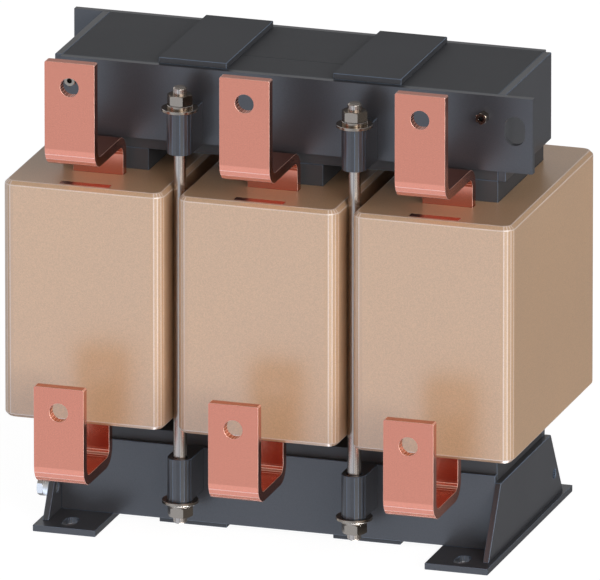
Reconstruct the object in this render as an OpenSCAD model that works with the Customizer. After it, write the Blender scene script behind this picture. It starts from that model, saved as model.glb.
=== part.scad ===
// Three-phase iron-core reactor: a laminated core with three limbs, a potted
// foil coil on each limb with an upper and a lower copper terminal, and a frame
// of clamp sheets, tie rods, webs and slotted foot plates.
// The front is towards -Y, the coils stand in a row along X.
// The origin is on the floor, in the middle of the outline.

/* [Core] */
// Distance between neighbouring limbs
phase_pitch = 103; // [98:0.5:115]
// Width of a limb, and height of each yoke
limb_w = 51; // [44:0.5:56]
// Depth of the lamination stack
stack_d = 87; // [70:0.5:100]
// Thickness of one air-gap spacer in a limb
gap_t = 3; // [1:0.25:5]
// Number of iron packets in a limb
packet_count = 4; // [3:1:6]
// Set-back of the spacer edges behind the limb faces
gap_inset = 1; // [0.5:0.25:2]
// Thickness of the plates on the ends of the upper yoke
end_plate_t = 4.5; // [3:0.25:6]

/* [Coils] */
// Height of a coil casing
coil_h = 139.5; // [120:0.5:160]
// Free height between lower yoke and casing
coil_gap_low = 13.5; // [8:0.25:16]
// Free height between casing and upper yoke
coil_gap_top = 12.5; // [8:0.25:20]
// Space left between a tie rod and the casings beside it
rod_coil_clearance = 0.6; // [0.3:0.1:1.2]
// Thickness of the casing side walls
casing_t = 4.2; // [3:0.1:5]
// Thickness of the casing's top and bottom
casing_end_t = 4; // [3:0.25:6]
// Radius of the casing's upright edges
casing_edge_r = 7; // [4:0.25:8]
// Chamfer round the casing's top and bottom
casing_chamfer = 2.25; // [1:0.25:3]
// Thickness of the coil former
former_t = 3; // [2:0.25:3.5]
// Thickness of the packing strips at the limb's sides
side_strip_t = 1.5; // [1:0.25:2]
// Thickness of the packing strips at the limb's front and back
face_strip_t = 4.6; // [3:0.1:6]
// Share of the foil that lies in the inner pack
inner_pack_share = 0.45; // [0.3:0.05:0.6]
// Depth of the front cooling duct
front_duct_t = 7.25; // [5:0.25:10]
// Depth of the rear cooling duct
rear_duct_t = 5.25; // [4:0.25:10]
// Width of a duct stick
stick_w = 5; // [4:0.25:6]
// Gap between the casing and the parts that pass through it
casing_clearance = 0.25; // [0.15:0.05:0.4]

/* [Terminals] */
// Width of a terminal bar
bar_w = 29.5; // [24:0.5:34]
// Thickness of a terminal bar
bar_t = 6; // [4:0.5:7]
// Inner radius of the bends
bend_r = 5; // [4:0.25:6]
// Diameter of the connection holes
hole_d = 11; // [8:0.5:13]
// Distance from a tab's top edge to its hole
hole_inset = 14.5; // [11:0.25:18]
// Distance from the casing's front to an upper tab
upper_tab_reach = 21.25; // [16:0.25:24]
// Height of an upper tab's top edge above the casing
upper_tab_rise = 79.5; // [70:0.5:90]
// Height of an upper bar's level part above the casing
upper_bar_lift = 17; // [16:0.25:20]
// Distance from the casing's front to a lower tab
lower_tab_reach = 42.25; // [34:0.25:46]
// Height of a lower tab's top edge above the casing's underside
lower_tab_rise = 34; // [30:0.5:60]
// Depth of a lower bar's level part below the casing
lower_bar_drop = 24.5; // [20:0.25:28]
// Small rounding of the cut edges of a tab
tab_corner_r = 1; // [0.5:0.25:2]

/* [Clamping] */
// Thickness of the clamp sheets
clamp_t = 4; // [3:0.25:6]
// Height of the clamp sheets
clamp_h = 44; // [38:0.5:48]
// Length of an upper clamp sheet past the core
lift_overhang = 21.5; // [18.5:0.25:30]
// Width of a lifting slot
lift_slot_w = 12; // [8:0.25:12.5]
// Height of a lifting slot
lift_slot_h = 17; // [14:0.25:24]
// Material left between a lifting slot and the sheet's end
lift_slot_margin = 4.5; // [3:0.25:5]
// Depth of a lifting slot's centre below the sheet's top
lift_slot_drop = 19.6; // [15:0.1:24]
// Width of a bridge plate
bridge_w = 40; // [30:0.5:46]
// Thickness of the upper bridge plates
bridge_t = 3.5; // [3:0.25:5]
// Diameter of a yoke stud
stud_d = 3; // [2.5:0.25:4]
// Clearance all round a yoke stud in its holes
stud_clearance = 0.4; // [0.25:0.05:0.8]
// Distance from the core's end to a yoke stud
stud_inset = 7.2; // [6:0.1:12]
// Depth of the yoke studs below the core's top
stud_drop = 12.4; // [10:0.1:18]
// Distance across the flats of a stud sleeve
stud_nut_af = 6; // [5.5:0.25:8]
// Length of a stud sleeve
stud_nut_h = 5.5; // [4:0.25:7]
// Depth of a stud's end inside its sleeve
stud_recess = 2.5; // [0.5:0.1:4]
// Width of the joint line in the upper yoke
seam_w = 0.5; // [0.3:0.1:1]
// Depth of the joint line in the upper yoke
seam_depth = 1; // [0.5:0.25:2]
// Distance from the core's front to the joint line
seam_inset = 28.9; // [20:0.1:34]

/* [Tie rods] */
// Diameter of a rod's plain shank
rod_d = 7; // [6:0.1:7.5]
// Diameter of a rod's threaded ends
rod_thread_d = 8; // [7.75:0.05:8.5]
// Distance from a clamp sheet to a rod's axis
rod_offset = 19.5; // [16:0.25:21]
// Clearance all round a rod in its lug
rod_clearance = 0.4; // [0.2:0.05:0.8]
// Length of a rod's end past its nut
rod_tip = 4.2; // [3:0.1:6]
// Chamfer of a rod's ends
rod_chamfer = 0.8; // [0.4:0.1:1]
// Width of a rod lug
lug_w = 14.7; // [14:0.1:18]
// Height of a rod lug
lug_h = 25; // [20:0.25:30]
// Diameter of a flat washer
washer_d = 21; // [18:0.25:24]
// Thickness of a flat washer
washer_t = 1.6; // [1:0.1:2.5]
// Diameter of a spring washer
spring_washer_d = 14.8; // [13.5:0.1:16]
// Thickness of a spring washer
spring_washer_t = 2; // [1.5:0.1:2.5]
// Width of the cut in a spring washer
spring_cut_w = 0.8; // [0.4:0.1:1.2]
// Clearance all round a rod in its washers
washer_clearance = 0.2; // [0.1:0.05:0.4]
// Distance across the flats of a rod nut
nut_af = 13; // [12:0.5:15]
// Height of a rod nut
nut_h = 6; // [5:0.1:8]

/* [Feet] */
// Width of a foot plate
foot_w = 37; // [30:0.5:44]
// Thickness of a foot plate
foot_t = 3.5; // [3:0.25:6]
// Length of a foot plate past the core
foot_overhang = 6; // [5.5:0.1:10]
// Width of a foot slot
slot_w = 8; // [7:0.25:10]
// Length of a foot slot
slot_l = 15; // [12:0.25:18]
// Distance between the two slots of a foot
slot_spacing = 138; // [124:0.5:160]
// Distance from a foot slot's centre to the plate's end
slot_inset = 12.5; // [9.5:0.25:20]
// Thickness of a foot web
web_t = 3.5; // [2.5:0.25:5]
// Height of a foot web above its plate
web_h = 40; // [34:0.5:44]
// Length by which a web spreads past the clamp sheets at its foot
web_spread = 23.5; // [20:0.25:26]

/* [Earth bolt] */
// Diameter of the earth bolt and of both earth holes
earth_d = 6; // [5:0.25:7]
// Distance of the earth holes past the clamp sheets
earth_reach = 7.1; // [0:0.1:8.5]
// Height of the earth holes above the foot plates
earth_rise = 14.7; // [12:0.1:18]
// Distance across the flats of the earth bolt's head
earth_af = 10; // [9:0.25:12]
// Height of the earth bolt's head
earth_head_h = 3.6; // [3:0.1:4.5]
// Diameter of the earth bolt's flat washer
earth_washer_d = 12; // [11:0.25:13.5]
// Thickness of the earth bolt's flat washer
earth_washer_t = 2.2; // [1.2:0.1:2.5]
// Diameter of the earth bolt's spring washer
earth_spring_d = 10.6; // [10:0.1:11.5]
// Thickness of the earth bolt's spring washer
earth_spring_t = 1.5; // [1:0.1:2]
// Depth of the earth bolt's tip inside the web
earth_tip_recess = 0.5; // [0.2:0.1:1]

/* [Hidden] */
PHASES = ["left", "middle", "right"];
PHASE_PARTS = [
    "limb", "gap_spacers", "packing_strips", "coil_former", "inner_winding",
    "outer_winding", "duct_sticks", "coil_casing", "upper_terminal", "lower_terminal"
];
FRAME_PARTS = [
    "upper_yoke", "lower_yoke", "left_end_plate", "right_end_plate",
    "front_upper_clamp", "rear_upper_clamp", "front_lower_clamp", "rear_lower_clamp",
    "front_upper_lugs", "rear_upper_lugs", "front_lower_lugs", "rear_lower_lugs",
    "upper_bridge_plates", "lower_bridge_plates",
    "tie_rods", "tie_rod_nuts", "tie_rod_washers", "tie_rod_spring_washers",
    "yoke_studs", "yoke_stud_nuts",
    "left_foot_plate", "right_foot_plate", "left_foot_web", "right_foot_web",
    "earth_bolt", "earth_bolt_washer", "earth_bolt_spring_washer"
];
$fn = 64;

// Sides of the part, as signs along an axis
left = -1;
right = 1;
front = -1;
rear = 1;

// Cuts run past the faces that they open by this much
overrun = 1;
// Slope of the turned corners of nuts and bolt heads
chamfer_angle = 30;

// Core
core_half_x = phase_pitch + limb_w / 2;
core_half_y = stack_d / 2;
core_bottom = foot_t;
window_h = coil_gap_low + coil_h + coil_gap_top;
window_bottom = core_bottom + limb_w;
window_top = window_bottom + window_h;
core_top = window_top + limb_w;
packet_h = (window_h - (packet_count - 1) * gap_t) / packet_count;

// Coil, from the limb outwards
coil_w = phase_pitch - rod_d - 2 * rod_coil_clearance;
coil_bottom = window_bottom + coil_gap_low;
coil_top = coil_bottom + coil_h;
cavity_bottom = coil_bottom + casing_end_t;
cavity_h = coil_h - 2 * casing_end_t;
former_x = limb_w / 2 + side_strip_t + former_t;
former_y = core_half_y + face_strip_t + former_t;
cavity_x = coil_w / 2 - casing_t;
winding_t = cavity_x - former_x;
inner_pack_t = winding_t * inner_pack_share;
outer_pack_t = winding_t - inner_pack_t;
inner_pack_front = former_y + bar_t;
inner_pack_rear = former_y;
outer_pack_front = inner_pack_front + inner_pack_t + front_duct_t;
outer_pack_rear = inner_pack_rear + inner_pack_t + rear_duct_t;
cavity_front = outer_pack_front + outer_pack_t;
cavity_rear = outer_pack_rear + outer_pack_t;
coil_front = cavity_front + bar_t + casing_t;
coil_rear = cavity_rear + casing_t;
stick_share = 1 / 3;
strip_share = 0.7;

// Terminals
bend_outer_r = bend_r + bar_t;
upper_tab_front = coil_front + upper_tab_reach;
upper_tab_top = coil_top + upper_tab_rise;
upper_bar_bottom = coil_top + upper_bar_lift;
lower_tab_front = coil_front + lower_tab_reach;
lower_tab_top = coil_bottom + lower_tab_rise;
lower_bar_bottom = coil_bottom - lower_bar_drop;

// Clamping and rods
clamp_front = core_half_y + clamp_t;
upper_clamp_bottom = core_top - clamp_h;
lower_clamp_top = core_bottom + clamp_h;
upper_clamp_end = core_half_x + lift_overhang;
lift_slot_x = upper_clamp_end - lift_slot_margin - lift_slot_w / 2;
lift_slot_z = core_top - lift_slot_drop;
stud_x = core_half_x - stud_inset;
stud_z = core_top - stud_drop;
rod_x = phase_pitch / 2;
rod_y = clamp_front + rod_offset;
upper_lug_top = upper_clamp_bottom + lug_h;
lower_lug_bottom = lower_clamp_top - lug_h;
rod_stack_h = washer_t + spring_washer_t + nut_h;
rod_top = upper_lug_top + rod_stack_h + rod_tip;
rod_bottom = lower_lug_bottom - rod_stack_h - rod_tip;

// Feet
foot_end = core_half_x + foot_overhang;
foot_x = foot_end - foot_w / 2;
foot_d = slot_spacing + 2 * slot_inset;
web_outer = core_half_x + web_t;
earth_offset = clamp_front + earth_reach;
earth_z = foot_t + earth_rise;

// The outline's middle, so that the part stands over its origin
front_reach = max(lower_tab_front, upper_tab_front, foot_d / 2, rod_y + washer_d / 2);
rear_reach = max(coil_rear, foot_d / 2, rod_y + washer_d / 2);
core_mid_y = (front_reach - rear_reach) / 2;

// Colours
dark_steel = [0.17, 0.18, 0.2];
core_steel = [0.14, 0.14, 0.15];
tan_resin = [0.78, 0.62, 0.5];
copper = [0.86, 0.5, 0.42];
foil = [0.72, 0.4, 0.26];
bright_steel = [0.72, 0.7, 0.66];
laminate = [0.85, 0.78, 0.55];

// Moves a part from the middle of the core to the part's frame
module in_frame() {
    translate([0, core_mid_y, 0])
        children();
}

// Moves a part onto the limb of phase i
module at_phase(i) {
    translate([(i - 1) * phase_pitch, core_mid_y, 0])
        children();
}

// A block that spans x0..x1, y0..y1 and z0..z1
module span(x0, x1, y0, y1, z0, z1) {
    translate([x0, y0, z0])
        cube([x1 - x0, y1 - y0, z1 - z0]);
}

// A hollow between two upright rectangles, given by half width, front and rear reach
module sleeve(outer, inner, z0, h) {
    difference() {
        span(-outer[0], outer[0], -outer[1], outer[2], z0, z0 + h);
        span(-inner[0], inner[0], -inner[1], inner[2], z0 - overrun, z0 + h + overrun);
    }
}

// A slot outline of width w and length l, with round ends, along Y
module slot_outline(w, l) {
    straight = l - w;
    translate([0, -straight / 2])
        circle(d = w);
    translate([0, straight / 2])
        circle(d = w);
    translate([-w / 2, -straight / 2])
        square([w, straight]);
}

// One sloping layer of a chamfer: an upright-edged block that narrows by c upwards
module chamfer_layer(w, d, r, c) {
    rotate([90, 0, 0])
        translate([0, 0, -(d / 2 - r)])
            linear_extrude(d - 2 * r)
                polygon([[-w / 2, 0], [w / 2, 0], [w / 2 - c, c], [c - w / 2, c]]);
    rotate([90, 0, 90])
        translate([0, 0, -(w / 2 - r)])
            linear_extrude(w - 2 * r)
                polygon([[-d / 2, 0], [d / 2, 0], [d / 2 - c, c], [c - d / 2, c]]);
    for (sx = [left, right], sy = [front, rear])
        translate([sx * (w / 2 - r), sy * (d / 2 - r), 0])
            cylinder(h = c, r1 = r, r2 = r - c);
}

// An upright block with round edges of radius r, chamfered by c at top and bottom
module chamfered_block(w, d, h, r, c) {
    translate([0, 0, c])
        linear_extrude(h - 2 * c)
            union() {
                square([w, d - 2 * r], center = true);
                square([w - 2 * r, d], center = true);
                for (sx = [left, right], sy = [front, rear])
                    translate([sx * (w / 2 - r), sy * (d / 2 - r)])
                        circle(r);
            }
    translate([0, 0, h - c])
        chamfer_layer(w, d, r, c);
    translate([0, 0, c])
        mirror([0, 0, 1])
            chamfer_layer(w, d, r, c);
}

// A flat ring, bored with a clearance round what passes through it
module ring(d, bore, t) {
    difference() {
        cylinder(d = d, h = t);
        translate([0, 0, -overrun])
            cylinder(d = bore, h = t + 2 * overrun);
    }
}

// A ring that is cut through at one place
module spring_ring(d, bore, t, cut) {
    difference() {
        ring(d, bore, t);
        translate([0, -cut / 2, -overrun])
            cube([d, cut, t + 2 * overrun]);
    }
}

// A hexagonal prism with its corners turned off by a flat cone at both ends
module hex_blank(af, h) {
    cone_r = af / 2 + h / 2 / tan(chamfer_angle);
    intersection() {
        cylinder(d = af / cos(30), h = h, $fn = 6);
        rotate_extrude()
            polygon([[0, 0], [af / 2, 0], [cone_r, h / 2], [af / 2, h], [0, h]]);
    }
}

// A hexagonal nut bored to the thread it sits on
module hex_nut(af, bore, h) {
    difference() {
        hex_blank(af, h);
        translate([0, 0, -overrun])
            cylinder(d = bore, h = h + 2 * overrun);
    }
}

// A quarter bend of flat bar, from the downward leg at -Y to the level leg at +Z
module bar_bend() {
    translate([-bar_w / 2, 0, 0])
        rotate([90, 0, 90])
            rotate_extrude(angle = 90)
                translate([bend_r, 0])
                    square([bar_t, bar_w]);
}

// The upright tab of a terminal, bored for a bolt, its front face at y = 0
module tab(z0, z1) {
    difference() {
        rotate([90, 0, 0])
            translate([0, 0, -bar_t])
                linear_extrude(bar_t) {
                    translate([-bar_w / 2, z0])
                        square([bar_w, z1 - z0 - tab_corner_r]);
                    translate([tab_corner_r - bar_w / 2, z1 - 2 * tab_corner_r])
                        square([bar_w - 2 * tab_corner_r, 2 * tab_corner_r]);
                    for (sx = [left, right])
                        translate([sx * (bar_w / 2 - tab_corner_r), z1 - tab_corner_r])
                            circle(tab_corner_r);
                }
        translate([0, -overrun, z1 - hole_inset])
            rotate([-90, 0, 0])
                cylinder(d = hole_d, h = bar_t + 2 * overrun);
    }
}

// Core

// A yoke of full core length, its underside at z
module yoke_stack(z) {
    span(-core_half_x, core_half_x, -core_half_y, core_half_y, z, z + limb_w);
}

// Places a child at each yoke stud, turned so that its +Z runs to the rear
module at_studs() {
    for (sx = [left, right])
        translate([sx * stud_x, 0, stud_z])
            rotate([-90, 0, 0])
                children();
}

// The holes that the yoke studs need, through yoke and sheets
module stud_holes() {
    length = 2 * (clamp_front + overrun);
    at_studs()
        cylinder(d = stud_d + 2 * stud_clearance, h = length, center = true);
}

module upper_yoke() {
    seam_x = rod_x - bridge_w / 2;
    seam_y = seam_inset - core_half_y;
    color(core_steel)
        in_frame()
            difference() {
                yoke_stack(window_top);
                stud_holes();
                span(-seam_x, seam_x, seam_y, seam_y + seam_w, core_top - seam_depth,
                    core_top + overrun);
            }
}

module lower_yoke() {
    color(core_steel)
        in_frame()
            yoke_stack(core_bottom);
}

module limb() {
    color(core_steel)
        for (k = [0 : packet_count - 1])
            translate([-limb_w / 2, -core_half_y, window_bottom + k * (packet_h + gap_t)])
                cube([limb_w, stack_d, packet_h]);
}

module gap_spacers() {
    color(laminate)
        for (k = [1 : packet_count - 1])
            translate([gap_inset - limb_w / 2, gap_inset - core_half_y,
                window_bottom + k * packet_h + (k - 1) * gap_t])
                cube([limb_w - 2 * gap_inset, stack_d - 2 * gap_inset, gap_t]);
}

module end_plate(side) {
    color(dark_steel)
        in_frame()
            translate([side * (core_half_x + end_plate_t / 2), 0, window_top + limb_w / 2])
                cube([end_plate_t, stack_d, limb_w], center = true);
}

// Coils

module packing_strips() {
    side_w = strip_share * stack_d;
    face_w = strip_share * limb_w;
    color(laminate)
        for (s = [left, right]) {
            translate([s * (limb_w + side_strip_t) / 2, 0, cavity_bottom + cavity_h / 2])
                cube([side_strip_t, side_w, cavity_h], center = true);
            translate([0, s * (stack_d + face_strip_t) / 2, cavity_bottom + cavity_h / 2])
                cube([face_w, face_strip_t, cavity_h], center = true);
        }
}

module coil_former() {
    inner_x = former_x - former_t;
    inner_y = former_y - former_t;
    color(laminate)
        sleeve([former_x, former_y, former_y], [inner_x, inner_y, inner_y],
            cavity_bottom, cavity_h);
}

module inner_winding() {
    color(foil)
        sleeve([former_x + inner_pack_t, inner_pack_front + inner_pack_t,
                inner_pack_rear + inner_pack_t],
            [former_x, inner_pack_front, inner_pack_rear], cavity_bottom, cavity_h);
}

module outer_winding() {
    color(foil)
        sleeve([cavity_x, cavity_front, cavity_rear],
            [former_x + inner_pack_t, outer_pack_front, outer_pack_rear],
            cavity_bottom, cavity_h);
}

module duct_sticks() {
    run = 2 * (former_x + inner_pack_t) - stick_w;
    color(laminate)
        for (k = [0 : 3])
            translate([-run / 2 + k * run * stick_share - stick_w / 2, 0, cavity_bottom]) {
                translate([0, -outer_pack_front, 0])
                    cube([stick_w, front_duct_t, cavity_h]);
                translate([0, inner_pack_rear + inner_pack_t, 0])
                    cube([stick_w, rear_duct_t, cavity_h]);
            }
}

module coil_casing() {
    opening_x = limb_w / 2 + casing_clearance;
    opening_y = core_half_y + casing_clearance;
    slot_x = bar_w / 2 + casing_clearance;
    color(tan_resin)
        difference() {
            translate([0, (coil_rear - coil_front) / 2, coil_bottom])
                chamfered_block(coil_w, coil_front + coil_rear, coil_h, casing_edge_r,
                    casing_chamfer);
            span(-cavity_x, cavity_x, -cavity_front, cavity_rear, cavity_bottom,
                cavity_bottom + cavity_h);
            span(-opening_x, opening_x, -opening_y, opening_y, coil_bottom - overrun,
                coil_top + overrun);
            span(-slot_x, slot_x, -inner_pack_front - casing_clearance,
                casing_clearance - former_y, cavity_bottom + cavity_h - overrun,
                coil_top + overrun);
            span(-slot_x, slot_x, -cavity_front - bar_t - casing_clearance,
                casing_clearance - cavity_front, coil_bottom - overrun, coil_top + overrun);
        }
}

// Terminals

module upper_terminal() {
    level_z = upper_bar_bottom;
    tab_rear = upper_tab_front - bar_t;
    color(copper) {
        translate([0, -upper_tab_front, 0])
            tab(level_z + bend_outer_r, upper_tab_top);
        translate([0, bend_r - tab_rear, level_z + bend_outer_r])
            rotate([180, 0, 0])
                bar_bend();
        span(-bar_w / 2, bar_w / 2, bend_r - tab_rear, -inner_pack_front - bend_r, level_z,
            level_z + bar_t);
        translate([0, -inner_pack_front - bend_r, level_z - bend_r])
            bar_bend();
        span(-bar_w / 2, bar_w / 2, -inner_pack_front, -former_y, cavity_bottom,
            level_z - bend_r);
    }
}

module lower_terminal() {
    level_z = lower_bar_bottom;
    tab_rear = lower_tab_front - bar_t;
    riser_front = cavity_front + bar_t;
    color(copper) {
        translate([0, -lower_tab_front, 0])
            tab(level_z + bend_outer_r, lower_tab_top);
        translate([0, bend_r - tab_rear, level_z + bend_outer_r])
            rotate([180, 0, 0])
                bar_bend();
        span(-bar_w / 2, bar_w / 2, bend_r - tab_rear, -riser_front - bend_r, level_z,
            level_z + bar_t);
        translate([0, -riser_front - bend_r, level_z + bend_outer_r])
            rotate([-90, 0, 0])
                bar_bend();
        span(-bar_w / 2, bar_w / 2, -riser_front, -cavity_front, level_z + bend_outer_r,
            coil_top);
    }
}

// Clamping

// An upper clamp sheet in the front position
module upper_clamp() {
    difference() {
        span(-core_half_x, upper_clamp_end, -clamp_front, -core_half_y, upper_clamp_bottom,
            core_top);
        stud_holes();
        translate([lift_slot_x, overrun - core_half_y, lift_slot_z])
            rotate([90, 0, 0])
                linear_extrude(clamp_t + 2 * overrun)
                    slot_outline(lift_slot_w, lift_slot_h);
    }
}

module front_upper_clamp() {
    color(dark_steel)
        in_frame()
            upper_clamp();
}

module rear_upper_clamp() {
    color(dark_steel)
        in_frame()
            rotate(180)
                upper_clamp();
}

module lower_clamp(side) {
    color(dark_steel)
        in_frame()
            translate([0, side * (core_half_y + clamp_t / 2), (core_bottom + lower_clamp_top) / 2])
                cube([2 * core_half_x, clamp_t, clamp_h], center = true);
}

// Both lugs of one clamp sheet, from height z upwards
module lugs(side, z) {
    color(dark_steel)
        in_frame()
            for (sx = [left, right])
                translate([sx * rod_x, side * rod_y, z])
                    linear_extrude(lug_h)
                        difference() {
                            union() {
                                circle(d = lug_w);
                                translate([-lug_w / 2, side == front ? 0 : -rod_offset])
                                    square([lug_w, rod_offset]);
                            }
                            circle(d = rod_thread_d + 2 * rod_clearance);
                        }
}

module bridge_plates(z0, z1) {
    color(dark_steel)
        in_frame()
            for (sx = [left, right])
                span(sx * rod_x - bridge_w / 2, sx * rod_x + bridge_w / 2, -core_half_y,
                    core_half_y, z0, z1);
}

module yoke_studs() {
    half = clamp_front + stud_nut_h - stud_recess;
    color(bright_steel)
        in_frame()
            at_studs()
                cylinder(d = stud_d, h = 2 * half, center = true);
}

module yoke_stud_nuts() {
    color(bright_steel)
        in_frame()
            at_studs()
                for (s = [front, rear])
                    rotate([s == front ? 180 : 0, 0, 0])
                        translate([0, 0, clamp_front])
                            rotate(30)
                                hex_nut(stud_nut_af, stud_d, stud_nut_h);
}

// Tie rods

// Places a child at the foot of each rod, on the floor
module at_rods() {
    in_frame()
        for (sx = [left, right], sy = [front, rear])
            translate([sx * rod_x, sy * rod_y, 0])
                children();
}

// Places a child on both ends of each rod, seated at the lug with +Z outwards
module at_rod_ends(lift) {
    at_rods() {
        translate([0, 0, upper_lug_top + lift])
            children();
        translate([0, 0, lower_lug_bottom - lift])
            mirror([0, 0, 1])
                children();
    }
}

module tie_rods() {
    thread_h = rod_top - rod_chamfer - (upper_lug_top - lug_h);
    tip_d = rod_thread_d - 2 * rod_chamfer;
    color(bright_steel)
        at_rods() {
            translate([0, 0, lower_lug_bottom])
                cylinder(d = rod_d, h = upper_lug_top - lower_lug_bottom);
            for (z = [[upper_lug_top - lug_h, 0], [lower_lug_bottom + lug_h, 1]])
                translate([0, 0, z[0]])
                    mirror([0, 0, z[1]]) {
                        cylinder(d = rod_thread_d, h = thread_h);
                        translate([0, 0, thread_h])
                            cylinder(d1 = rod_thread_d, d2 = tip_d, h = rod_chamfer);
                    }
        }
}

module tie_rod_washers() {
    color(bright_steel)
        at_rod_ends(0)
            ring(washer_d, rod_thread_d + 2 * washer_clearance, washer_t);
}

module tie_rod_spring_washers() {
    color(bright_steel)
        at_rod_ends(washer_t)
            spring_ring(spring_washer_d, rod_thread_d + 2 * washer_clearance, spring_washer_t,
                spring_cut_w);
}

module tie_rod_nuts() {
    color(bright_steel)
        at_rod_ends(washer_t + spring_washer_t)
            hex_nut(nut_af, rod_thread_d, nut_h);
}

// Feet

module foot_plate(side) {
    color(dark_steel)
        in_frame()
            difference() {
                span(side * foot_x - foot_w / 2, side * foot_x + foot_w / 2, -foot_d / 2,
                    foot_d / 2, 0, foot_t);
                for (sy = [front, rear])
                    translate([side * foot_x, sy * slot_spacing / 2, -overrun])
                        linear_extrude(foot_t + 2 * overrun)
                            slot_outline(slot_w, slot_l);
            }
}

// A web in the right-hand position, its earth hole at the rear
module foot_web() {
    top = clamp_front;
    foot = clamp_front + web_spread;
    translate([core_half_x, 0, foot_t])
        rotate([90, 0, 90])
            linear_extrude(web_t)
                difference() {
                    polygon([[-foot, 0], [foot, 0], [top, web_h], [-top, web_h]]);
                    translate([earth_offset, earth_rise])
                        circle(d = earth_d);
                }
}

module left_foot_web() {
    color(dark_steel)
        in_frame()
            rotate(180)
                foot_web();
}

module right_foot_web() {
    color(dark_steel)
        in_frame()
            foot_web();
}

// Places a child at the left web's earth hole, its +Z pointing away from the web
module at_earth(lift) {
    in_frame()
        translate([-web_outer - lift, -earth_offset, earth_z])
            rotate([0, -90, 0])
                children();
}

module earth_bolt() {
    head_lift = earth_washer_t + earth_spring_t;
    shank = web_t - earth_tip_recess + head_lift;
    color(bright_steel) {
        at_earth(head_lift)
            hex_blank(earth_af, earth_head_h);
        at_earth(head_lift - shank)
            cylinder(d = earth_d, h = shank);
    }
}

module earth_bolt_washer() {
    color(bright_steel)
        at_earth(0)
            ring(earth_washer_d, earth_d + 2 * washer_clearance, earth_washer_t);
}

module earth_bolt_spring_washer() {
    color(bright_steel)
        at_earth(earth_washer_t)
            spring_ring(earth_spring_d, earth_d + 2 * washer_clearance, earth_spring_t,
                spring_cut_w);
}

for (i = [0 : 2]) {
    at_phase(i) limb();
    at_phase(i) gap_spacers();
    at_phase(i) packing_strips();
    at_phase(i) coil_former();
    at_phase(i) inner_winding();
    at_phase(i) outer_winding();
    at_phase(i) duct_sticks();
    at_phase(i) coil_casing();
    at_phase(i) upper_terminal();
    at_phase(i) lower_terminal();
}
upper_yoke();
lower_yoke();
end_plate(left);  // left_end_plate
end_plate(right);  // right_end_plate
front_upper_clamp();
rear_upper_clamp();
lower_clamp(front);  // front_lower_clamp
lower_clamp(rear);  // rear_lower_clamp
lugs(front, upper_clamp_bottom);  // front_upper_lugs
lugs(rear, upper_clamp_bottom);  // rear_upper_lugs
lugs(front, lower_lug_bottom);  // front_lower_lugs
lugs(rear, lower_lug_bottom);  // rear_lower_lugs
bridge_plates(core_top, core_top + bridge_t);  // upper_bridge_plates
bridge_plates(0, core_bottom);  // lower_bridge_plates
tie_rods();
tie_rod_nuts();
tie_rod_washers();
tie_rod_spring_washers();
yoke_studs();
yoke_stud_nuts();
foot_plate(left);  // left_foot_plate
foot_plate(right);  // right_foot_plate
left_foot_web();
right_foot_web();
earth_bolt();
earth_bolt_washer();
earth_bolt_spring_washer();
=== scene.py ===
"""Load-side reactor: three potted coils on an iron core, in a clamping frame of painted sheet steel.

Every piece is modelled over the solid that it stands for and rides on the one body of the part.
Lengths are millimetres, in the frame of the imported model: +X along the row of coils, -Y towards the
terminals, +Z up. They become metres where they go into a matrix or into Blender's own calls.
"""

import logging
import math
from collections.abc import Callable, Iterator
from contextlib import contextmanager
from dataclasses import dataclass, replace
from enum import Enum, StrEnum
from functools import partial

import bpy
from mathutils import Matrix, Vector


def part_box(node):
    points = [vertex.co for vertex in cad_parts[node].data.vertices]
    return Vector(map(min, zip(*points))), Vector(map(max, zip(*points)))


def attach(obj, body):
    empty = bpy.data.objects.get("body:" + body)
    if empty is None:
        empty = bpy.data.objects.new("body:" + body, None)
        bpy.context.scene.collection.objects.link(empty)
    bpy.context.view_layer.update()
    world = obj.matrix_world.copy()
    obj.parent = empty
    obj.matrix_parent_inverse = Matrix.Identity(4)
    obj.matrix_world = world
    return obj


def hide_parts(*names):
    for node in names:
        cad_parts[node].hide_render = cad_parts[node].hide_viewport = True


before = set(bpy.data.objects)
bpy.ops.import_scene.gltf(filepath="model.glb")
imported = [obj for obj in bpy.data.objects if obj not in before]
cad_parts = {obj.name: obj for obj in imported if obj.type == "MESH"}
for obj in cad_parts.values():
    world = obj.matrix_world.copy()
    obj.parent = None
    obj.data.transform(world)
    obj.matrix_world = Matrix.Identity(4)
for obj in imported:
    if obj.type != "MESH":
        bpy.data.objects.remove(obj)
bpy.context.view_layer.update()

log = logging.getLogger("reactor")

# One millimetre in metres, and the middle of the core along Y
MM = 0.001
MID_Y = 24.25
# Segments of a quarter round and of a full one
FACETS = 5
ROUND = 4 * FACETS
# How far a tool stands past what it cuts, and how near two places count as one
OVERRUN = 1.0
TOUCH = 0.01
# Degrees above which an edge is broken, and below which it is shaded smooth
SHARP = 10
SMOOTH = 8

Pair = tuple[float, float]
Point = tuple[float, float, float]
Piece = bpy.types.Object
Socket = bpy.types.NodeSocket
Sockets = bpy.types.bpy_prop_collection

ORIGIN: Point = (0, 0, 0)
UP: Point = (0, 0, 1)


class Slot(Enum):
    """Material slots that the part's record lists."""

    CORE = "core_laminations"
    FRAME = "frame_steel"
    CASING = "coil_casing"
    COPPER = "terminal_copper"
    FOIL = "winding_foil"
    PLATED = "plated_steel"
    LAMINATE = "glass_laminate"


class Phase(StrEnum):
    """The three coils of the row, from left to right."""

    LEFT = "left"
    MIDDLE = "middle"
    RIGHT = "right"


class Level(StrEnum):
    """The end of the coils that a piece stands at."""

    UPPER = "upper"
    LOWER = "lower"


class Axis(Enum):
    """An axis, with its number."""

    X = 0
    Y = 1
    Z = 2


class Kind(Enum):
    """What is picked on a mesh, with the mesh's own name for it."""

    VERT = "vertices"
    EDGE = "edges"
    FACE = "polygons"


# Modelling moves


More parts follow.
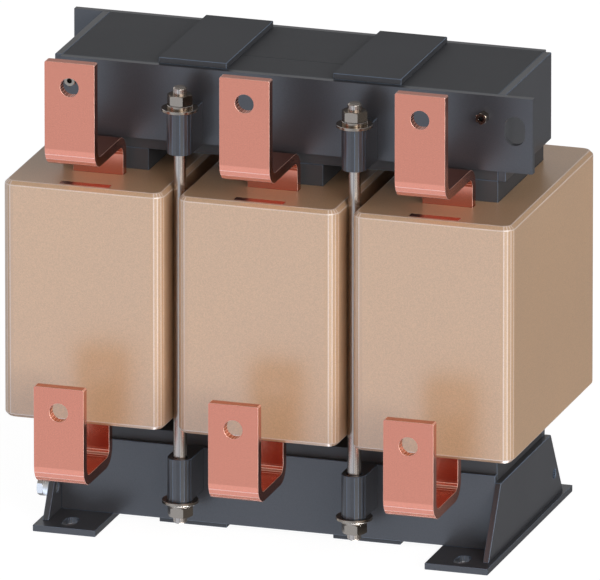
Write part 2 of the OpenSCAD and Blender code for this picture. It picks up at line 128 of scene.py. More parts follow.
def node_box(node: str) -> tuple[Point, Point]:
    """Gives the lowest and highest corner of a solid."""
    low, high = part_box(node)
    return tuple(v / MM for v in low), tuple(v / MM for v in high)


def only(piece: Piece) -> None:
    """Selects a piece alone and makes it active.

    Args:
        piece: The piece.
    """
    bpy.ops.object.select_all(action="DESELECT")
    piece.select_set(True)
    bpy.context.view_layer.objects.active = piece


@contextmanager
def editing(piece: Piece, select_all: bool = True) -> Iterator[None]:
    """Holds a piece in edit mode for the moves inside.

    Args:
        piece: The piece.
        select_all: False where what was picked stays selected.
    """
    only(piece)
    bpy.ops.object.mode_set(mode="EDIT")
    if select_all:
        bpy.ops.mesh.select_all(action="SELECT")
    yield
    bpy.ops.object.mode_set(mode="OBJECT")


def primitive(add: Callable, name: str, at: Point, scale: Point = (1, 1, 1), **settings: object) -> Piece:
    """Adds a primitive, with its place and scale in its mesh.

    Args:
        add: Blender's call for it.
        name: Name of the piece.
        at: Middle of the piece.
        scale: Its size in metres, where the call gives it size 1.
        settings: What else the call takes.

    Returns:
        The piece, its object at the origin.
    """
    bpy.ops.object.select_all(action="DESELECT")
    add(location=[v * MM for v in at], **settings)
    piece = bpy.context.active_object
    piece.scale = scale
    bpy.ops.object.transform_apply(location=True, rotation=True, scale=True)
    piece.name = piece.data.name = name
    return piece


def block(name: str, low: Point, high: Point) -> Piece:
    """Adds a block that spans two corners.

    Args:
        name: Name of the piece.
        low: Lowest corner.
        high: Highest corner.

    Returns:
        The block.
    """
    at = [(a + b) / 2 for a, b in zip(low, high)]
    size = [(b - a) * MM for a, b in zip(low, high)]
    return primitive(bpy.ops.mesh.primitive_cube_add, name, at, size, size=1)


def round_bar(name: str, at: Point, radius: float, length: float, axis: Axis = Axis.Z,
              sides: int = ROUND) -> Piece:
    """Adds a round or many-sided bar centred on a point.

    Args:
        name: Name of the piece.
        at: Middle of the bar.
        radius: Radius over the corners.
        length: Length along the axis.
        axis: The axis that it lies along.
        sides: Number of sides.

    Returns:
        The bar.
    """
    turn = {Axis.X: (0, math.pi / 2, 0), Axis.Y: (-math.pi / 2, 0, 0), Axis.Z: ORIGIN}[axis]
    return primitive(bpy.ops.mesh.primitive_cylinder_add, name, at, vertices=sides, radius=radius * MM,
                     depth=length * MM, rotation=turn)


def drill(at: Point, radius: float, depth: float, axis: Axis = Axis.Z) -> Piece:
    """Makes the tool that drills through a piece of this depth."""
    return round_bar("drill", at, radius, depth + 2 * OVERRUN, axis)


def pick(piece: Piece, kind: Kind, test: Callable[[object], bool]) -> None:
    """Selects the points, edges or faces of a piece that pass a test, and nothing else.

    Args:
        piece: The piece.
        kind: Points, edges or faces.
        test: Says whether a point, edge or face is taken.
    """
    for each in Kind:
        parts = getattr(piece.data, each.value)
        parts.foreach_set("select", [each is kind and test(part) for part in parts])
    bpy.context.tool_settings.mesh_select_mode = tuple(each is kind for each in Kind)


def bevel_edges(piece: Piece, test: Callable[[Vector, Vector], bool], width: float,
                steps: int = FACETS) -> None:
    """Bevels the edges that pass a test.

    Args:
        piece: The piece.
        test: Takes both ends of an edge and says whether it is bevelled.
        width: Width of the bevel.
        steps: Number of segments.
    """
    points = piece.data.vertices
    pick(piece, Kind.EDGE, lambda e: test(*[points[v].co / MM for v in e.vertices]))
    with editing(piece, select_all=False):
        bpy.ops.mesh.bevel(offset=width * MM, segments=steps, affect="EDGES")


def slot_tool(at: Point, size: Point, axis: Axis) -> Piece:
    """Makes the tool that cuts a slot with round ends.

    Args:
        at: Middle of the slot.
        size: Width of the slot along X, and its sizes along Y and Z.
        axis: The axis that it goes through along.

    Returns:
        The tool.
    """
    low, high = ([c + sign * s / 2 for c, s in zip(at, size)] for sign in (-1, 1))
    tool = block("slot", low, high)
    bevel_edges(tool, lambda a, b: abs(a[axis.value] - b[axis.value]) > TOUCH, size[0] / 2 - TOUCH)
    return tool


def modify(piece: Piece, kind: str, **settings: object) -> None:
    """Adds a modifier and applies it.

    Args:
        piece: The piece.
        kind: Blender's name for the modifier.
        settings: Its settings.
    """
    only(piece)
    modifier = piece.modifiers.new(kind.lower(), kind)
    for key, value in settings.items():
        setattr(modifier, key, value)
    bpy.ops.object.modifier_apply(modifier=modifier.name)


def cut(piece: Piece, *tools: Piece, operation: str = "DIFFERENCE") -> None:
    """Takes the shapes of tools out of a piece, and removes the tools.

    Args:
        piece: The piece.
        tools: The tools.
        operation: INTERSECT where the piece keeps only what it shares with each tool.
    """
    for tool in tools:
        modify(piece, "BOOLEAN", object=tool, operation=operation, solver="EXACT")
        bpy.data.objects.remove(tool)


def soften(piece: Piece, width: float) -> None:
    """Breaks the sharp edges of a piece, and keeps its second material for the strips, which carries a
    painted highlight.

    Args:
        piece: The piece.
        width: Width of the strips.
    """
    while len(piece.data.materials) < 2:
        piece.data.materials.append(None)
    modify(piece, "BEVEL", width=width * MM, segments=1, limit_method="ANGLE",
           angle_limit=math.radians(SHARP), material=1)


def polish(piece: Piece, angle: float = SMOOTH) -> None:
    """Shades a piece smooth below an angle, with its flat faces kept flat."""
    only(piece)
    bpy.ops.object.shade_smooth_by_angle(angle=math.radians(angle))


def finish(piece: Piece, width: float, angle: float = SMOOTH) -> None:
    """Softens a piece and polishes it."""
    soften(piece, width)
    polish(piece, angle)


def shift(x: float = 0, y: float = 0, z: float = 0) -> Matrix:
    """Gives a move in millimetres as a matrix."""
    return Matrix.Translation((x * MM, y * MM, z * MM))


def half_turn(axis: Axis = Axis.Z, about: Point = (0, MID_Y, 0)) -> Matrix:
    """Gives a half turn as a matrix. About the middle of the row it takes the front to the rear."""
    return shift(*about) @ Matrix.Rotation(math.pi, 4, axis.name) @ shift(*[-v for v in about])


def copy(piece: Piece, name: str, place: Matrix) -> Piece:
    """Copies a piece with its own mesh.

    Args:
        piece: The finished piece.
        name: Name of the copy.
        place: Where the copy goes, relative to the piece.

    Returns:
        The copy, its object at the origin.
    """
    twin = piece.copy()
    twin.data = piece.data.copy()
    twin.name = twin.data.name = name
    bpy.context.collection.objects.link(twin)
    twin.data.transform(place)
    twin.data.update()
    return twin


def all_round(piece: Piece, step: float) -> list[Piece]:
    """Copies the right piece of the front to the left, and both round to the rear.

    Args:
        piece: The piece, its name from front_ to _right.
        step: Distance between right and left.

    Returns:
        The two pieces of the front, and then the two of the rear.
    """
    stem = piece.name.removeprefix("front_").removesuffix("_right")
    left = copy(piece, f"front_{stem}_left", shift(-step))
    rear_left = copy(piece, f"rear_{stem}_left", half_turn())
    return [piece, left, rear_left, copy(left, f"rear_{stem}_right", half_turn())]


def bent_bar(name: str, start: Point, width: float, thickness: float, heading: int,
             legs: list[Pair]) -> Piece:
    """Draws a flat bar along straight runs and bends in the plane of Y and Z.

    Args:
        name: Name of the piece.
        start: Middle of the bar's first cut end.
        width: Width of the bar along X.
        thickness: Thickness of the bar.
        heading: 1 if the bar starts upwards, -1 if downwards.
        legs: The length of each straight run, with the inside radius of the bend after it, or
            zero for none. It is positive where the bend turns from -Y over -Z to +Y, seen along +X.

    Returns:
        The bar.
    """
    cut_end = (width * MM, thickness * MM, 1)
    piece = primitive(bpy.ops.mesh.primitive_plane_add, name, start, cut_end, size=1)
    spot, course = Vector(start), Vector((0, 0, heading))
    bpy.context.tool_settings.mesh_select_mode = (False, False, True)
    with editing(piece):
        for run, bend in legs:
            bpy.ops.mesh.extrude_region_move(TRANSFORM_OT_translate={"value": course * run * MM})
            spot += course * run
            if bend:
                sense = 1 if bend > 0 else -1
                reach = abs(bend) + thickness / 2
                inward = Matrix.Rotation(sense * math.pi / 2, 3, "X") @ course
                centre = spot + inward * reach
                bpy.ops.mesh.spin(steps=FACETS, angle=math.pi / 2, center=centre * MM, axis=(-sense, 0, 0))
                spot = centre + course * reach
                course = inward
    with editing(piece):
        bpy.ops.mesh.remove_doubles(threshold=TOUCH * MM)
        bpy.ops.mesh.normals_make_consistent(inside=False)
    return piece


# Standard parts

FASTENER_EDGE = 0.13
LAY = {Axis.X: Matrix.Rotation(math.pi / 2, 4, "Y"), Axis.Y: Matrix.Rotation(math.pi / 2, 4, "X"),
       Axis.Z: Matrix.Identity(4)}


@dataclass(frozen=True)
class Hexagon:
    """A hexagonal blank, by its distance across flats, its corners turned off at an angle in degrees."""

    across: float
    length: float
    turned: float = 30

    def model(self, name: str, at: Point, axis: Axis, bore: float = 0) -> Piece:
        """Models the blank upright and lays it along its axis.

        Args:
            name: Name of the piece.
            at: Middle of the blank.
            axis: The axis that it lies along.
            bore: Radius of the bore, or zero for none.

        Returns:
            The blank.
        """
        spread = 1 + self.length / self.across / math.tan(math.radians(self.turned))
        piece = round_bar(name, ORIGIN, self.across / math.sqrt(3), self.length, sides=6)
        if axis is not Axis.Y:
            piece.data.transform(Matrix.Rotation(math.pi / 2, 4, "Z"))
        cone = round_bar("cone", ORIGIN, self.across / 2, self.length, sides=4 * ROUND)
        with editing(cone):
            bpy.ops.mesh.bisect(plane_co=ORIGIN, plane_no=UP)
            bpy.ops.transform.resize(value=(spread, spread, 1), center_override=ORIGIN)
        cut(piece, cone, operation="INTERSECT")
        if bore:
            cut(piece, drill(ORIGIN, bore, self.length))
        finish(piece, FASTENER_EDGE)
        piece.data.transform(shift(*at) @ LAY[axis])
        return piece


@dataclass(frozen=True)
class Ring:
    """A washer, sprung where it is split, and shaded smooth below an angle in degrees."""

    radius: float
    thickness: float
    split: float = 0.0
    smooth: float = 12

    def model(self, name: str, at: Point, bore: float, axis: Axis = Axis.Z) -> Piece:
        """Models the washer upright and lays it along its axis.

        Args:
            name: Name of the piece.
            at: Middle of the washer.
            bore: Radius of the bore.
            axis: The axis that it lies along.

        Returns:
            The washer.
        """
        piece = round_bar(name, ORIGIN, self.radius, self.thickness, sides=2 * ROUND)
        cut(piece, drill(ORIGIN, bore, self.thickness))
        if self.split:
            cut(piece, block("saw", (0, -self.split / 2, -self.thickness),
                             (self.radius + OVERRUN, self.split / 2, self.thickness)))
        finish(piece, FASTENER_EDGE, self.smooth)
        piece.data.transform(shift(*at) @ LAY[axis])
        return piece


# Shader groups

NODE_START = "ShaderNode"


class Tree:
    """Adds and joins the nodes of one node tree."""

    def __init__(self, tree: bpy.types.NodeTree) -> None:
        """Keeps the tree that the nodes go into."""
        self.tree = tree

    def feed(self, node: bpy.types.Node, inputs: dict) -> None:
        """Sets or joins the inputs of a node.

        Args:
            node: The node.
            inputs: Values or sockets, by the name or number of the input.
        """
        for key, value in inputs.items():
            if isinstance(value, Socket):
                self.tree.links.new(value, node.inputs[key])
            else:
                node.inputs[key].default_value = value

    def add(self, kind: str, inputs: dict | None = None, **settings: object) -> bpy.types.Node:
        """Adds a node.

        Args:
            kind: Blender's name for the node type, without its start.
            inputs: Values or sockets, by the name or number of the input.
            settings: Attributes of the node.

        Returns:
            The node.
        """
        node = self.tree.nodes.new(NODE_START + kind)
        for key, value in settings.items():
            setattr(node, key, value)
        self.feed(node, inputs or {})
        return node

    def math(self, operation: str, *values: float | Socket) -> Socket:
        """Adds a Math node and gives its output."""
        return self.add("Math", dict(enumerate(values)), operation=operation).outputs[0]

    def blend(self, share: float | Socket, first: object, second: object, kind: str = "MIX") -> Socket:
        """Adds a colour Mix node and gives its output."""
        node = self.add("Mix", {0: share, 6: first, 7: second}, data_type="RGBA", blend_type=kind)
        return node.outputs[2]

    def about_one(self, value: Socket, spread: float) -> Socket:
        """Takes a value from between 0 and 1 to between 1 less the spread and 1 plus it."""
        return self.math("MULTIPLY_ADD", value, 2 * spread, 1 - spread)

    def raise_by(self, height: Socket, strength: float, most: float, more: dict | None = None) -> Socket:
        """Adds a Bump node with this strength and height, and gives its output."""
        inputs = {"Strength": strength, "Distance": most * MM, "Height": height, **(more or {})}
        return self.add("Bump", inputs).outputs[0]

    def shade(self, color: object, level: Socket) -> Socket:
        """Multiplies a colour by a grey level."""
        grey = self.add("CombineColor", {0: level, 1: level, 2: level}).outputs[0]
        return self.blend(1.0, color, grey, "MULTIPLY")


class Effects:
    """The shared effects, each built once as a node group."""

    def __init__(self) -> None:
        """Builds all groups."""
        self.grain = self._grain()
        self.sheets = self._sheets()
        self.marks = self._marks()

    @staticmethod
    def _start(name: str, inputs: list[str], outputs: list[str]) -> tuple[Tree, Sockets, bpy.types.Node]:
        """Starts a group.

        Args:
            name: Name of the group.
            inputs: Names of the inputs. Vector is a vector, and the others are values.
            outputs: Names of the value outputs.

        Returns:
            The tree, its inputs as sockets and its output node.
        """
        tree = bpy.data.node_groups.new(name, "ShaderNodeTree")
        for key in inputs:
            kind = "NodeSocketVector" if key == "Vector" else "NodeSocketFloat"
            tree.interface.new_socket(name=key, in_out="INPUT", socket_type=kind)
        for key in outputs:
            tree.interface.new_socket(name=key, in_out="OUTPUT", socket_type="NodeSocketFloat")
        return Tree(tree), tree.nodes.new("NodeGroupInput").outputs, tree.nodes.new("NodeGroupOutput")

    def _grain(self) -> bpy.types.NodeTree:
        """Builds fine speckle with slow clouds under it.

        Returns:
            The group, with Speckle and Cloud between 0 and 1.
        """
        made, given, sink = self._start(
            "fine_grain", ["Vector", "Grain size", "Cloud size"], ["Speckle", "Cloud"])
        point = given["Vector"]
        for size, detail, target in (("Grain size", 2.0, "Speckle"), ("Cloud size", 3.0, "Cloud")):
            scale = made.math("DIVIDE", 1 / MM, given[size])
            noise = made.add("TexNoise", {"Vector": point, "Scale": scale, "Detail": detail})
            made.feed(sink, {target: noise.outputs[0]})
        return made.tree

    def _sheets(self) -> bpy.types.NodeTree:
        """Builds the edges of stacked sheets.

        Returns:
            The group, with Line on the joints and Tone for each sheet, both between 0 and 1.
        """
        made, given, sink = self._start("stacked_sheets", ["Along", "Sheet", "Joint"], ["Line", "Tone"])
        pitch = made.math("MULTIPLY", given["Sheet"], MM)
        count = made.math("DIVIDE", given["Along"], pitch)
        near = made.math("ABSOLUTE", made.math("SUBTRACT", made.math("FRACT", count), 0.5))
        edge = made.math("SUBTRACT", 0.5, given["Joint"])
        line = made.add("MapRange", {"Value": near, "From Min": edge, "From Max": 0.5})
        tone = made.add("TexWhiteNoise", {"W": made.math("FLOOR", count)}, noise_dimensions="1D")
        made.feed(sink, {"Line": line.outputs[0], "Tone": tone.outputs[0]})
        return made.tree

    def _marks(self) -> bpy.types.NodeTree:
        """Builds fine marks drawn out along one direction.

        Returns:
            The group, with Marks between 0 and 1.
        """
        made, given, sink = self._start("drawn_marks", ["Vector", "Across", "Along"], ["Marks"])
        across, along = (made.math("DIVIDE", 1 / MM, given[size]) for size in ("Across", "Along"))
        scale = made.add("CombineXYZ", {0: across, 1: across, 2: along}).outputs[0]
        point = made.add("VectorMath", {0: given["Vector"], 1: scale}, operation="MULTIPLY")
        noise = made.add("TexNoise", {"Vector": point.outputs[0], "Scale": 1.0, "Detail": 3.0})
        made.feed(sink, {"Marks": noise.outputs[0]})
        return made.tree


# Finishes


@dataclass(frozen=True)
class Look:
    """A finish as its two materials: one for the faces and one for the edge strips, lighter as a painted
    highlight.
    """

    slot: Slot
    face: bpy.types.Material
    edge: bpy.types.Material

    def dress(self, node: str, *pieces: Piece) -> None:
        """Gives finished pieces their materials and their body, and hides the solid that they stand for.

        Args:
            node: Name of the solid that the pieces replace.
            pieces: The finished pieces, each with two material slots.
        """
        for piece in pieces:
            for place, material in enumerate((self.face, self.edge)):
                piece.data.materials[place] = material
            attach(piece, "root")
            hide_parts(node)
            log.info("%s: %d faces, %s", piece.name, len(piece.data.polygons), self.face.name)


@dataclass(frozen=True)
class Finish:
    """A finish: a colour with its gloss, grain and bump."""

    name: str
    slot: Slot
    color: Point
    roughness: float
    metallic: float = 0.0
    specular: float = 0.5
    ior: float = 1.5
    grain_size: float = 0.5
    grain_tone: float = 0.06
    cloud_size: float = 70.0
    cloud_tone: float = 0.04
    cloud_roughness: float = 0.05
    bump: float = 0.02
    bump_height: float = 0.5
    relief: float = 0.3
    relief_height: float = 0.2
    # Colour and gloss of the edge strips: a painted highlight along every broken edge
    edge_color: Point = (0.5, 0.5, 0.5)
    edge_roughness: float = 0.3

    def worn(self) -> "Finish":
        """Gives the lighter finish of the edge strips, a painted highlight."""
        return replace(self, name=self.name + "_edge", color=self.edge_color, roughness=self.edge_roughness)

    def pattern(self, made: Tree, effects: Effects, point: Socket) -> tuple[Socket, Socket] | None:
        """Gives the tone and the height of a pattern over the grain, or None where there is none."""
        return None

    def build(self, effects: Effects) -> bpy.types.Material:
        """Builds the material.

        Args:
            effects: The shared groups.

        Returns:
            The material.
        """
        material = bpy.data.materials.new(self.name)
        material.use_nodes = True
        material.diffuse_color = (*self.color, 1)
        made = Tree(material.node_tree)
        point = made.add("TexCoord").outputs["Object"]
        sizes = {"Grain size": self.grain_size, "Cloud size": self.cloud_size}
        grain = made.add("Group", {"Vector": point, **sizes}, node_tree=effects.grain).outputs
        speckle, cloud = grain["Speckle"], grain["Cloud"]
        fine, slow = made.about_one(speckle, self.grain_tone), made.about_one(cloud, self.cloud_tone)
        tone = made.shade((*self.color, 1), made.math("MULTIPLY", fine, slow))
        bump = made.raise_by(speckle, self.bump, self.bump_height)
        pattern = self.pattern(made, effects, point)
        if pattern:
            tone = made.shade(tone, pattern[0])
            bump = made.raise_by(pattern[1], self.relief, self.relief_height, {"Normal": bump})
        spread = self.cloud_roughness
        rough = made.math("MULTIPLY_ADD", cloud, 2 * spread, self.roughness - spread)
        made.feed(made.tree.nodes["Principled BSDF"], {
            "Base Color": tone, "Roughness": rough, "Metallic": self.metallic,
            "Specular IOR Level": self.specular, "IOR": self.ior, "Normal": bump})
        return material


@dataclass(frozen=True)
class StackedSheets(Finish):
    """Sheets whose edges show along one axis."""

    axis: Axis = Axis.Y
    sheet: float = 0.5
    joint: float = 0.2
    line_tone: float = 0.75
    sheet_tone: float = 0.03

    def pattern(self, made: Tree, effects: Effects, point: Socket) -> tuple[Socket, Socket]:
        """Draws the joints, and a tone for each sheet.

        Args:
            made: The material's tree.
            effects: The shared groups.
            point: The object coordinates.

        Returns:
            The tone and the height.
        """
        along = made.add("SeparateXYZ", {0: point}).outputs[self.axis.value]
        stack = made.add("Group", {"Along": along, "Sheet": self.sheet, "Joint": self.joint},
                         node_tree=effects.sheets).outputs
        line = made.math("MULTIPLY_ADD", stack["Line"], self.line_tone - 1, 1.0)
        level = made.math("MULTIPLY", line, made.about_one(stack["Tone"], self.sheet_tone))
        return level, made.math("SUBTRACT", 1.0, stack["Line"])


@dataclass(frozen=True)
class DrawnMetal(Finish):
    """Bare or plated metal with fine marks from drawing."""

    across: float = 0.25
    along: float = 30.0
    mark_tone: float = 0.08

    def pattern(self, made: Tree, effects: Effects, point: Socket) -> tuple[Socket, Socket]:
        """Draws the marks."""
        marks = made.add("Group", {"Vector": point, "Across": self.across, "Along": self.along},
                         node_tree=effects.marks).outputs["Marks"]
        return made.about_one(marks, self.mark_tone), marks


class Paintbox:
    """All finishes of the part."""

    def __init__(self) -> None:
        """Builds every material once."""
        make = partial(self._make, Effects())
        # Each edge colour is lighter than its face colour: a painted highlight on the edge strips
        self.resin = make(Finish(
            "cast_resin", Slot.CASING, (0.595, 0.368, 0.207), roughness=0.3, specular=0.9, ior=1.8,
            grain_size=0.55, grain_tone=0.3, bump=0.12, edge_color=(0.77, 0.61, 0.51)))
        self.copper = make(DrawnMetal(
            "bare_copper", Slot.COPPER, (0.69, 0.253, 0.165), roughness=0.24, metallic=1.0,
            grain_size=0.7, grain_tone=0.15, mark_tone=0.02, across=0.4, along=8,
            edge_color=(1.0, 0.6, 0.5), edge_roughness=0.55))
        self.paint = make(Finish(
            "anthracite_paint", Slot.FRAME, (0.038, 0.038, 0.043), roughness=0.3, specular=0.9,
            grain_size=0.7, grain_tone=0.35, bump=0.12, edge_color=(0.11, 0.145, 0.2), edge_roughness=0.25))
        self.matt_paint = make(Finish(
            "matt_anthracite_paint", Slot.FRAME, (0.04, 0.041, 0.046), roughness=0.6, specular=0.7,
            grain_size=0.4, grain_tone=0.1, bump=0.04, edge_color=(0.11, 0.145, 0.2), edge_roughness=0.4))
        self.sheets = make(StackedSheets(
            "varnished_sheets", Slot.CORE, (0.041, 0.042, 0.046), roughness=0.6, specular=0.75,
            grain_size=0.4, grain_tone=0.1, bump=0.03, edge_color=(0.09, 0.12, 0.16)))
        self.plated = make(Finish(
            "nickel_plating", Slot.PLATED, (0.32, 0.265, 0.21), roughness=0.22, metallic=1.0, bump=0.01,
            edge_color=(0.85, 0.8, 0.76), edge_roughness=0.25))
        self.drawn = make(DrawnMetal(
            "drawn_rod", Slot.PLATED, (0.42, 0.36, 0.31), roughness=0.22, metallic=1.0, bump=0.01,
            edge_color=(0.6, 0.54, 0.48), edge_roughness=0.25))
        self.bright = make(Finish(
            "bright_plating", Slot.PLATED, (0.8, 0.78, 0.76), roughness=0.25, metallic=1.0, bump=0.01,
            edge_color=(0.95, 0.94, 0.92)))
        # The studs are near black: painted shade for the bores of the sleeves on their ends
        self.blackened = make(Finish(
            "blackened_stud", Slot.PLATED, (0.015, 0.015, 0.016), roughness=0.6, specular=0.2,
            edge_color=(0.04, 0.04, 0.045), edge_roughness=0.5))
        self.laminate = make(StackedSheets(
            "glass_laminate", Slot.LAMINATE, (0.5, 0.42, 0.22), roughness=0.6, sheet=0.3, axis=Axis.Z))
        self.foil = make(StackedSheets(
            "wound_foil", Slot.FOIL, (0.6, 0.28, 0.18), roughness=0.35, metallic=1.0, sheet=0.6,
            axis=Axis.X))

    @staticmethod
    def _make(effects: Effects, finish: Finish) -> Look:
        """Builds the two materials of a finish."""
        return Look(finish.slot, finish.build(effects), finish.worn().build(effects))


# Sub-assemblies


@dataclass(frozen=True)
class Studs:
    """The two yoke studs and the hexagonal sleeves on their ends."""

    x: float = 121.3
    z: float = 258.6
    radius: float = 1.5
    hole_r: float = 1.9
    sleeve: Hexagon = Hexagon(6.0, 5.5)

    def drills(self, middle: float, depth: float) -> list[Piece]:
        """Makes the tools of both stud holes, for a piece with this middle and depth along Y."""
        return [drill((side * self.x, middle, self.z), self.hole_r, depth, Axis.Y) for side in (-1, 1)]


@dataclass(frozen=True)
class RodPlan:
    """Where the four tie rods stand."""

    x: float = 51.5
    reach: float = 67.0

    def place(self) -> Pair:
        """Gives where the front right rod stands, along X and along Y."""
        return self.x, MID_Y - self.reach


@dataclass
class Assembly:
    """What every sub-assembly has: the finishes, and the width of its broken edges."""

    paints: Paintbox
    edge: float = 0.3

    def plate(self, name: str, node: str) -> None:
        """Models a plain painted plate.

        Args:
            name: Name of the piece.
            node: The solid that it stands for.
        """
        piece = block(name, *node_box(node))
        finish(piece, self.edge)
        self.paints.paint.dress(node, piece)


@dataclass
class Core(Assembly):
    """The laminated core: two yokes, three limbs of four packets, and two end plates."""

    studs: Studs = Studs()
    packets: int = 4
    gap: float = 3.0
    seam_inset: float = 28.9
    seam_width: float = 0.5
    seam_depth: float = 1.0
    seam_half: float = 31.5

    def yoke(self, level: Level) -> None:
        """Models a yoke, the upper one with its joint line and the holes of the studs.

        Args:
            level: Upper or lower yoke.
        """
        node = f"{level}_yoke"
        low, high = node_box(node)
        piece = block(f"{node}_stack", low, high)
        soften(piece, self.edge)
        if level is Level.UPPER:
            y = low[1] + self.seam_inset
            groove = block("groove", (-self.seam_half, y, high[2] - self.seam_depth),
                           (self.seam_half, y + self.seam_width, high[2] + OVERRUN))
            cut(piece, groove, *self.studs.drills(MID_Y, high[1] - low[1]))
        polish(piece)
        self.paints.sheets.dress(node, piece)

    def limb(self, phase: Phase) -> None:
        """Models the packets of a limb.

        Args:
            phase: The coil that the limb goes through.
        """
        node = f"{phase}_limb"
        low, high = node_box(node)
        rise = (high[2] - low[2] + self.gap) / self.packets
        piece = block(f"{node}_packets", low, (high[0], high[1], low[2] + rise - self.gap))
        soften(piece, self.edge)
        modify(piece, "ARRAY", count=self.packets, use_relative_offset=False, use_constant_offset=True,
               constant_offset_displace=(0, 0, rise * MM))
        polish(piece)
        self.paints.sheets.dress(node, piece)

    def build(self) -> None:
        """Builds the core."""
        for level in Level:
            self.yoke(level)
        for phase in Phase:
            self.limb(phase)
        for node in ("left_end_plate", "right_end_plate"):
            self.plate(f"{node}_flat", node)


@dataclass
class Coil(Assembly):
    """One phase: its potted coil and its two bent terminals."""

    phase: Phase = Phase.LEFT
    edge_r: float = 7.0
    chamfer: float = 2.25
    rim: float = 0.34
    wall: float = 4.2
    end_wall: float = 4.0
    fit: float = 0.25
    limb_half: Pair = (25.5, 43.5)
    bar: float = 6.0
    bend: float = 5.0
    hole_r: float = 5.5
    hole_drop: float = 14.5
    upper_level: float = 224.5
    lower_tab_height: float = 58.5
    corner: float = 1.0

    def casing(self) -> None:
        """Models the potted casing, its opening for the limb, its hollow and its bar slots."""
        node = f"{self.phase}_coil_casing"
        low, high = node_box(node)
        piece = block(f"{self.phase}_casing", low, high)
        bevel_edges(piece, lambda a, b: abs(a.z - b.z) > TOUCH, self.edge_r)
        bevel_edges(piece, lambda a, b: abs(a.z - b.z) < TOUCH, self.chamfer, 1)
        soften(piece, self.rim)
        front_wall = self.wall + self.bar
        tools = [block("hollow", (low[0] + self.wall, low[1] + front_wall, low[2] + self.end_wall),
                       (high[0] - self.wall, high[1] - self.wall, high[2] - self.end_wall))]
        x = (low[0] + high[0]) / 2
        hx, hy = self.limb_half[0] + self.fit, self.limb_half[1] + self.fit
        tools.append(block("opening", (x - hx, MID_Y - hy, low[2] - OVERRUN),
                           (x + hx, MID_Y + hy, high[2] + OVERRUN)))
        bottoms = {Level.UPPER: high[2] - 2 * self.end_wall, Level.LOWER: low[2] - OVERRUN}
        for level, bottom in bottoms.items():
            near, far = node_box(f"{self.phase}_{level}_terminal")
            tools.append(block("slot", (near[0] - self.fit, far[1] - self.bar - self.fit, bottom),
                               (far[0] + self.fit, far[1] + self.fit, high[2] + OVERRUN)))
        cut(piece, *tools)
        polish(piece)
        self.paints.resin.dress(node, piece)

    def terminal(self, level: Level) -> None:
        """Models the bar that leaves a foil end, runs forward and turns up into a drilled tab.

        Args:
            level: Upper, from the inner foil end, or lower, from the outer one.
        """
        node = f"{self.phase}_{level}_terminal"
        low, high = node_box(node)
        x = (low[0] + high[0]) / 2
        corner = self.bar + self.bend
        if level is Level.UPPER:
            heading, start, top = 1, low[2], high[2]
            first, last = self.upper_level - self.bend - start, top - self.upper_level - corner
        else:
            heading, start, top = -1, high[2], low[2] + self.lower_tab_height
            first, last = start - low[2] - corner, self.lower_tab_height - corner
        legs = [(first, heading * self.bend), (high[1] - low[1] - 2 * corner, -self.bend), (last, 0)]
        piece = bent_bar(f"{self.phase}_{level}_bar", (x, high[1] - self.bar / 2, start),
                         high[0] - low[0], self.bar, heading, legs)
        bevel_edges(piece, lambda a, b: abs(a.x - b.x) < TOUCH and abs(a.z - top) < TOUCH
                    and abs(b.z - top) < TOUCH, self.corner)
        cut(piece, drill((x, low[1] + self.bar / 2, top - self.hole_drop), self.hole_r, self.bar, Axis.Y))
        finish(piece, self.edge)
        self.paints.copper.dress(node, piece)

    def build(self) -> None:
        """Builds the phase and dresses the sealed solids inside it."""
        self.casing()
        for level in Level:
            self.terminal(level)
        laminate = ("gap_spacers", "packing_strips", "coil_former", "duct_sticks")
        foil = ("inner_winding", "outer_winding")
        for part in laminate + foil:
            look = self.paints.foil if part in foil else self.paints.laminate
            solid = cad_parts[f"{self.phase}_{part}"]
            solid.data.materials.clear()
            solid.data.materials.append(look.face)


